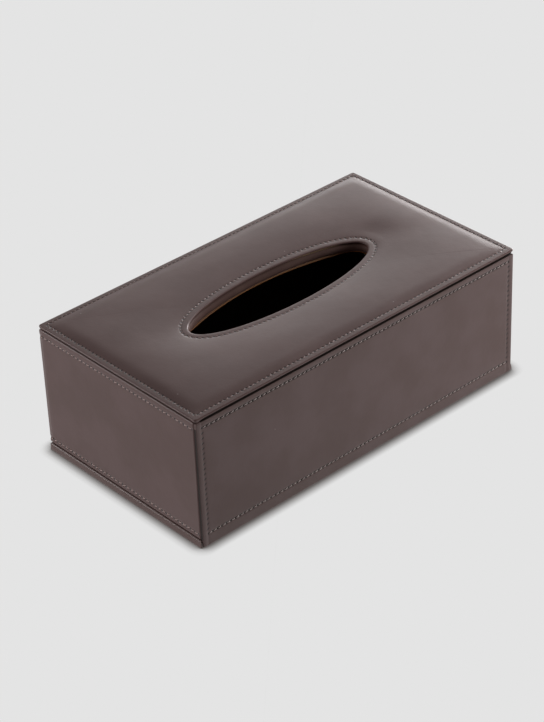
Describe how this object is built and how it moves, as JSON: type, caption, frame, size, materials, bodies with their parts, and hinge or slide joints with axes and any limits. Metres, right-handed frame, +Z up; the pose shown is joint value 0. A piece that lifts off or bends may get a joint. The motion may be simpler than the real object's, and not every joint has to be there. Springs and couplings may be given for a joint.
{
  "type": "tissue box with drawer",
  "caption": "Rectangular leather tissue box with a padded top and an oval tissue opening; its tall front and base slide out as a drawer to take the carton of tissues.",
  "frame": {"origin": "middle of the underside of the base", "axes": "+X along the box, -Y the way the drawer opens, +Z up"},
  "size_m": [0.262, 0.142, 0.0917],
  "materials": {
    "leather": "smooth dark brown, soft satin",
    "dark_suede": "matt nap",
    "tan_suede": "matt nap",
    "board": "raw fibreboard",
    "card": "raw",
    "runner_wood": "waxed",
    "foam": "open cell"
  },
  "bodies": {
    "cover": {"cover_leather": "leather", "cover_board_left": "board", "cover_board_right": "board", "cover_board_back": "board", "cover_lining_left": "dark_suede", "cover_lining_right": "dark_suede", "cover_lining_back": "dark_suede", "runner_left": "runner_wood", "runner_right": "runner_wood", "top_inner_board": "board", "top_lining": "tan_suede", "top_edge_leather": "leather", "opening_roll": "leather", "top_panel_board": "board", "top_padding": "foam", "top_leather": "leather"},
    "drawer": {"base_board": "board", "base_leather": "leather", "base_suede": "dark_suede", "base_lining": "dark_suede", "front_face_board": "card", "front_leather": "leather", "front_inner_board": "board", "front_lining": "dark_suede", "drawer_side_board_left": "board", "drawer_side_board_right": "board", "drawer_side_cover_left": "dark_suede", "drawer_side_cover_right": "dark_suede", "drawer_back_board": "board", "drawer_back_cover": "dark_suede"}
  },
  "joints": [
    {"name": "drawer_slide", "type": "slide", "parent": "cover", "child": "drawer", "axis": [0, -1, 0], "range_m": [0, 0.11]}
  ]
}
